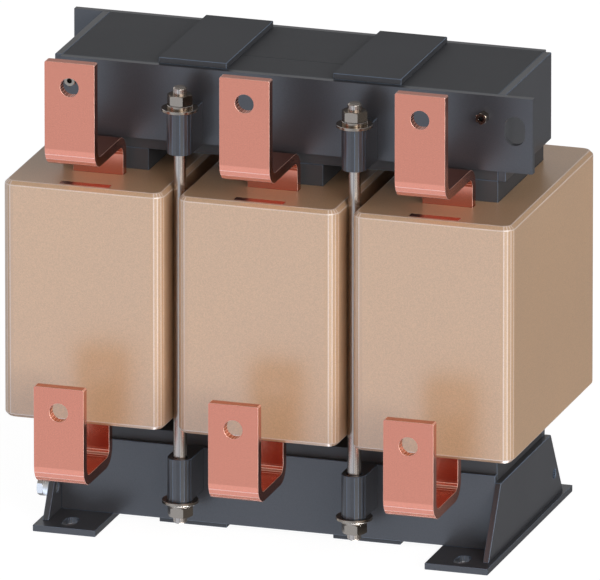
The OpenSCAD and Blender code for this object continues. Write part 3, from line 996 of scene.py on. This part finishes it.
@dataclass
class ClampFrame(Assembly):
    """The sheets, lugs and bridge plates that hold the core, with the two yoke studs."""

    studs: Studs = Studs()
    rods: RodPlan = RodPlan()
    slot_size: Pair = (12.0, 17.0)
    slot_at: Pair = (139.5, 251.4)
    bore_r: float = 4.4
    lug_width: float = 14.7
    bridge_w: float = 40.0

    def upper_sheets(self) -> None:
        """Models the front upper sheet, and turns a copy of it round to the rear."""
        low, high = node_box("front_upper_clamp")
        piece = block("front_upper_sheet", low, high)
        middle, depth = (low[1] + high[1]) / 2, high[1] - low[1]
        (width, height), (x, z) = self.slot_size, self.slot_at
        slot = slot_tool((x, middle, z), (width, depth + 2 * OVERRUN, height), Axis.Y)
        cut(piece, slot, *self.studs.drills(middle, depth))
        finish(piece, self.edge)
        twin = copy(piece, "rear_upper_sheet", half_turn())
        self.paints.paint.dress("front_upper_clamp", piece)
        self.paints.paint.dress("rear_upper_clamp", twin)

    def lugs(self, level: Level) -> None:
        """Models a half-round lug and copies it to the four rods.

        Args:
            level: Upper or lower lugs.
        """
        low, high = node_box(f"front_{level}_lugs")
        half = self.lug_width / 2
        x, y = self.rods.place()
        first = block(f"front_{level}_lug_right", (x - half, low[1], low[2]),
                      (x + half, high[1], high[2]))
        bevel_edges(first, lambda a, b: abs(a.z - b.z) > TOUCH and a.y < low[1] + TOUCH, half - TOUCH)
        cut(first, drill((x, y, (low[2] + high[2]) / 2), self.bore_r, high[2] - low[2]))
        finish(first, self.edge)
        pieces = all_round(first, 2 * self.rods.x)
        self.paints.paint.dress(f"front_{level}_lugs", *pieces[:2])
        self.paints.paint.dress(f"rear_{level}_lugs", *pieces[2:])

    def bridge_plates(self, level: Level) -> None:
        """Models a plate across the yoke and copies it to the other rod.

        Args:
            level: Upper or lower plates.
        """
        node = f"{level}_bridge_plates"
        low, high = node_box(node)
        first = block(f"{level}_bridge_right", (high[0] - self.bridge_w, low[1], low[2]), high)
        finish(first, self.edge)
        second = copy(first, f"{level}_bridge_left", shift(-2 * self.rods.x))
        self.paints.matt_paint.dress(node, first, second)

    def stud_sets(self) -> None:
        """Models the two yoke studs and the hexagonal sleeves on their ends."""
        studs = self.studs
        low, high = node_box("yoke_studs")
        rod = round_bar("yoke_stud_right", (studs.x, MID_Y, studs.z), studs.radius, high[1] - low[1],
                        Axis.Y)
        finish(rod, self.edge)
        other = copy(rod, "yoke_stud_left", shift(-2 * studs.x))
        # The studs take the near-black finish: painted shade in the sleeves' bores
        self.paints.blackened.dress("yoke_studs", rod, other)
        at = (studs.x, node_box("yoke_stud_nuts")[0][1] + studs.sleeve.length / 2, studs.z)
        sleeve = studs.sleeve.model("front_sleeve_right", at, Axis.Y, studs.radius)
        self.paints.plated.dress("yoke_stud_nuts", *all_round(sleeve, 2 * studs.x))

    def build(self) -> None:
        """Builds the clamping frame."""
        self.upper_sheets()
        for side in ("front", "rear"):
            self.plate(f"{side}_lower_sheet", f"{side}_lower_clamp")
        for level in Level:
            self.lugs(level)
            self.bridge_plates(level)
        self.stud_sets()


@dataclass
class TieRods(Assembly):
    """Four upright rods with a nut, a spring washer and a flat washer on each end."""

    edge: float = 0.1
    rods: RodPlan = RodPlan()
    shank_r: float = 3.5
    thread_r: float = 4.0
    tip: float = 0.8
    step: float = 0.05
    fit: float = 0.2
    lug_h: float = 25.0
    washer: Ring = Ring(10.5, 1.6)
    spring: Ring = Ring(7.4, 2.0, split=0.8)
    nut: Hexagon = Hexagon(13.0, 6.0)

    def rod(self) -> Piece:
        """Models the front right rod: a plain shank between two thicker ends with chamfered tips.

        Returns:
            The rod.
        """
        low, high = node_box("tie_rods")
        lower = node_box("front_lower_lugs")[0][2] + self.lug_h
        upper = node_box("front_upper_lugs")[1][2] - self.lug_h
        x, y = self.rods.place()
        piece = round_bar("tie_rod_front_right", (x, y, (low[2] + high[2]) / 2), self.thread_r,
                          high[2] - low[2])
        for z in (lower, lower + self.step, upper - self.step, upper):
            with editing(piece):
                bpy.ops.mesh.bisect(plane_co=(0, 0, z * MM), plane_no=UP)
        pick(piece, Kind.VERT, lambda v: lower < v.co.z / MM - self.step / 2 < upper - self.step)
        ratio = self.shank_r / self.thread_r
        with editing(piece, select_all=False):
            bpy.ops.transform.resize(value=(ratio, ratio, 1), center_override=(x * MM, y * MM, 0))
        bevel_edges(piece, lambda a, b: abs(a.z - b.z) < TOUCH
                    and (a.z > high[2] - TOUCH or a.z < low[2] + TOUCH), self.tip, 1)
        finish(piece, self.edge)
        return piece

    def spread(self, piece: Piece, node: str, look: Look, both_ends: bool = True) -> None:
        """Copies a piece of the front right rod to the others, and dresses all copies.

        Args:
            piece: The piece on the front right rod, at its upper end.
            node: The solid that the pieces stand for.
            look: The materials of the pieces.
            both_ends: True where the lower ends take the piece too, turned over.
        """
        low, high = node_box("tie_rods")
        pieces = [piece]
        stem = piece.name.removesuffix("_front_right")
        if both_ends:
            over = half_turn(Axis.X, (*self.rods.place(), (low[2] + high[2]) / 2))
            pieces.append(copy(piece, f"{stem}_low_front_right", over))
        for right in list(pieces):
            base = right.name.removesuffix("_front_right")
            left = copy(right, f"{base}_front_left", shift(-2 * self.rods.x))
            pieces.append(left)
            for twin, name in ((right, "rear_right"), (left, "rear_left")):
                pieces.append(copy(twin, f"{base}_{name}", shift(0, 2 * self.rods.reach)))
        look.dress(node, *pieces)

    def build(self) -> None:
        """Builds the rods and their hardware."""
        at = self.rods.place()
        top = node_box("front_upper_lugs")[1][2]
        self.spread(self.rod(), "tie_rods", self.paints.drawn, both_ends=False)
        rings = {"tie_rod_washers": self.washer, "tie_rod_spring_washers": self.spring}
        for (node, ring), stem in zip(rings.items(), ("rod_washer", "rod_spring")):
            middle = (*at, top + ring.thickness / 2)
            piece = ring.model(f"{stem}_front_right", middle, self.thread_r + self.fit)
            self.spread(piece, node, self.paints.plated)
            top += ring.thickness
        nut = self.nut.model("rod_nut_front_right", (*at, top + self.nut.length / 2), Axis.Z, self.thread_r)
        self.spread(nut, "tie_rod_nuts", self.paints.plated)


@dataclass
class Feet(Assembly):
    """The two foot plates, their webs, and the earth bolt in the left web."""

    slot: Pair = (8.0, 15.0)
    slot_spacing: float = 138.0
    web_top: float = 95.0
    earth_reach: float = 54.6
    earth_z: float = 18.2
    earth_r: float = 3.0
    fit: float = 0.2
    washer: Ring = Ring(6.0, 2.2)
    spring: Ring = Ring(5.3, 1.5, split=0.8)
    head: Hexagon = Hexagon(10.0, 3.6)

    def plates(self) -> None:
        """Models the right foot plate with its two slots, and turns a copy of it round to the left."""
        low, high = node_box("right_foot_plate")
        piece = block("right_foot_flat", low, high)
        x, z = (low[0] + high[0]) / 2, (low[2] + high[2]) / 2
        size = (*self.slot, high[2] - low[2] + 2 * OVERRUN)
        for side in (-1, 1):
            cut(piece, slot_tool((x, MID_Y + side * self.slot_spacing / 2, z), size, Axis.Z))
        finish(piece, self.edge)
        twin = copy(piece, "left_foot_flat", half_turn())
        self.paints.paint.dress("right_foot_plate", piece)
        self.paints.paint.dress("left_foot_plate", twin)

    def webs(self) -> None:
        """Models the right web, narrower at its top, and turns a copy of it round to the left."""
        low, high = node_box("right_foot_web")
        piece = block("right_web", low, high)
        pick(piece, Kind.FACE, lambda f: f.center.z / MM > high[2] - TOUCH)
        share = self.web_top / (high[1] - low[1])
        with editing(piece, select_all=False):
            bpy.ops.transform.resize(value=(1, share, 1), center_override=(0, MID_Y * MM, 0))
        at = ((low[0] + high[0]) / 2, MID_Y + self.earth_reach, self.earth_z)
        cut(piece, drill(at, self.earth_r, high[0] - low[0], Axis.X))
        finish(piece, self.edge)
        twin = copy(piece, "left_web", half_turn())
        self.paints.paint.dress("right_foot_web", piece)
        self.paints.paint.dress("left_foot_web", twin)

    def earth_bolt(self) -> None:
        """Models the earth bolt with its two washers."""
        y, z = MID_Y - self.earth_reach, self.earth_z
        face = node_box("left_foot_web")[0][0]
        rings = {"earth_bolt_washer": self.washer, "earth_bolt_spring_washer": self.spring}
        for (node, ring), stem in zip(rings.items(), ("earth_washer", "earth_spring")):
            piece = ring.model(stem, (face - ring.thickness / 2, y, z), self.earth_r + self.fit, Axis.X)
            self.paints.bright.dress(node, piece)
            face -= ring.thickness
        head = self.head.model("earth_head", (face - self.head.length / 2, y, z), Axis.X)
        end = node_box("earth_bolt")[1][0]
        shank = round_bar("earth_shank", ((face + end) / 2, y, z), self.earth_r, end - face, Axis.X)
        finish(shank, self.edge)
        self.paints.bright.dress("earth_bolt", head, shank)

    def build(self) -> None:
        """Builds the feet."""
        self.plates()
        self.webs()
        self.earth_bolt()


# Studio


@dataclass(frozen=True)
class Glow:
    """A soft patch of light in the studio, seen in one direction."""

    name: str
    toward: Point
    focus: float
    strength: float
    color: Point = (1.0, 1.0, 1.0)


@dataclass
class Studio:
    """The pale floor, the soft light all round and the camera at the photograph's angle."""

    azimuth: float = 17.64
    elevation: float = 17.35
    aim: Point = (-1.9, MID_Y, 130.8)
    view_width: float = 339.0
    lens: float = 1600.0
    sensor: float = 36.0
    nearest: float = 1.0
    farthest: float = 100.0
    floor_size: float = 60.0
    floor_drop: float = 0.2
    floor_color: Point = (0.85, 0.85, 0.85)
    # Floor colour below the foot plates: painted shade
    floor_shaded: Point = (0.3, 0.3, 0.32)
    floor_glow: float = 1.18
    floor_white: float = 0.8
    mirrored_white: float = 0.1
    even: Point = (0.11, 0.112, 0.12)
    glows: tuple[Glow, ...] = (
        Glow("low_front", (-0.3, -0.6, -0.75), 3.0, 1.5, (0.76, 0.9, 1.13)),
        Glow("key", (0.7, -0.67, 0.22), 16.0, 8.5),
        Glow("fill", (-0.7, -0.7, 0.3), 6.0, 0.6, (0.95, 0.97, 1.0)),
        Glow("rear", (-0.29, 0.91, 0.3), 24.0, 0.25),
        Glow("low_rear", (0.29, 0.91, -0.3), 24.0, 0.03, (0.7, 0.85, 1.0)),
        Glow("back_fill", (-0.9, 0.45, 0.05), 8.0, 1.3, (0.95, 0.97, 1.0)),
        Glow("top", (0.0, 0.0, 1.0), 4.0, 0.12),
        Glow("under", (0.05, 0.34, -0.94), 80.0, 25.0),
    )

    @staticmethod
    def _rays(made: Tree) -> tuple[Socket, Socket]:
        """Marks the rays from the camera, and those that are mirrored or refracted."""
        path = made.add("LightPath").outputs
        return path["Is Camera Ray"], made.math(
            "MAXIMUM", path["Is Glossy Ray"], path["Is Transmission Ray"])

    @staticmethod
    def _under_feet(made: Tree) -> Socket:
        """Marks the floor below the two foot plates.

        Args:
            made: The floor material's tree.

        Returns:
            1 below the plates and 0 elsewhere.
        """
        low, high = node_box("right_foot_plate")
        place = made.add("TexCoord").outputs["Object"]
        spot = made.add("SeparateXYZ", {0: place}).outputs
        across = made.math("COMPARE", made.math("ABSOLUTE", spot[0]), (low[0] + high[0]) / 2 * MM,
                           (high[0] - low[0]) / 2 * MM)
        along = made.math("COMPARE", spot[1], MID_Y * MM, (high[1] - low[1]) / 2 * MM)
        return made.math("MULTIPLY", across, along)

    def floor(self) -> None:
        """Lays the pale floor, white to the camera but not below the feet, with the part's shadow; below
        the feet its colour is darker, as painted shade.
        """
        floor = primitive(bpy.ops.mesh.primitive_grid_add, "floor", (0, 0, -self.floor_drop),
                          size=self.floor_size)
        material = bpy.data.materials.new("pale_floor")
        material.use_nodes = True
        made = Tree(material.node_tree)
        made.tree.nodes.remove(made.tree.nodes["Principled BSDF"])
        seen = made.math("MAXIMUM", *self._rays(made))
        under = self._under_feet(made)
        # Below the foot plates the floor takes the darker colour: painted shade, seen through the slots
        pale = made.blend(under, (*self.floor_color, 1), (*self.floor_shaded, 1))
        matt = made.add("BsdfDiffuse", {"Color": pale}).outputs[0]
        glow = made.add("Emission", {"Strength": self.floor_glow}).outputs[0]
        bare = made.math("SUBTRACT", 1.0, under)
        share = made.math("MULTIPLY", made.math("MULTIPLY", seen, bare), self.floor_white)
        mix = made.add("MixShader", {0: share, 1: matt, 2: glow}).outputs[0]
        made.feed(made.tree.nodes["Material Output"], {"Surface": mix})
        floor.data.materials.append(material)
        floor.visible_glossy = False

    def world(self) -> None:
        """Sets the light all round: an even part and the glows, and white where the camera sees it."""
        world = bpy.data.worlds.new("studio_world")
        bpy.context.scene.world = world
        world.use_nodes = True
        made = Tree(world.node_tree)
        way = made.add("TexCoord").outputs["Generated"]
        total = (*self.even, 1)
        for glow in self.glows:
            toward = Vector(glow.toward).normalized()
            near = made.add("VectorMath", {0: way, 1: toward}, operation="DOT_PRODUCT")
            level = made.math("POWER", made.math("MAXIMUM", near.outputs["Value"], 0.0), glow.focus)
            tint = tuple(channel * glow.strength for channel in glow.color)
            total = made.blend(level, total, (*tint, 1), "ADD")
            total.node.name = glow.name
        room = made.tree.nodes["Background"]
        made.feed(room, {"Color": total})
        white = made.add("Background", {"Color": (1, 1, 1, 1)}).outputs[0]
        camera, mirrored = self._rays(made)
        seen = made.math("MAXIMUM", camera, made.math("MULTIPLY", mirrored, self.mirrored_white))
        mix = made.add("MixShader", {0: seen, 1: room.outputs[0], 2: white}).outputs[0]
        made.feed(made.tree.nodes["World Output"], {"Surface": mix})

    def camera(self) -> None:
        """Places the camera far off on a long lens, as the photograph's near-parallel view asks."""
        data = bpy.data.cameras.new("camera")
        data.type = "PERSP"
        data.lens = self.lens
        data.sensor_width = self.sensor
        data.clip_start = self.nearest
        data.clip_end = self.farthest
        camera = bpy.data.objects.new("camera", data)
        bpy.context.collection.objects.link(camera)
        a, e = math.radians(self.azimuth), math.radians(self.elevation)
        back = Vector((math.sin(a) * math.cos(e), -math.cos(a) * math.cos(e), math.sin(e)))
        camera.location = Vector(self.aim) * MM + back * (self.view_width * MM * self.lens / self.sensor)
        camera.rotation_euler = (-back).to_track_quat("-Z", "Y").to_euler()
        bpy.context.scene.camera = camera

    def build(self) -> None:
        """Sets up the studio."""
        bpy.context.scene.view_settings.view_transform = "Standard"
        self.floor()
        self.world()
        self.camera()


def main() -> None:
    logging.basicConfig(level=logging.INFO, format="%(name)s: %(message)s")
    paints = Paintbox()
    Core(paints).build()
    for phase in Phase:
        Coil(paints, phase=phase).build()
    ClampFrame(paints).build()
    TieRods(paints).build()
    Feet(paints).build()
    Studio().build()


if __name__ == "__main__":
    main()
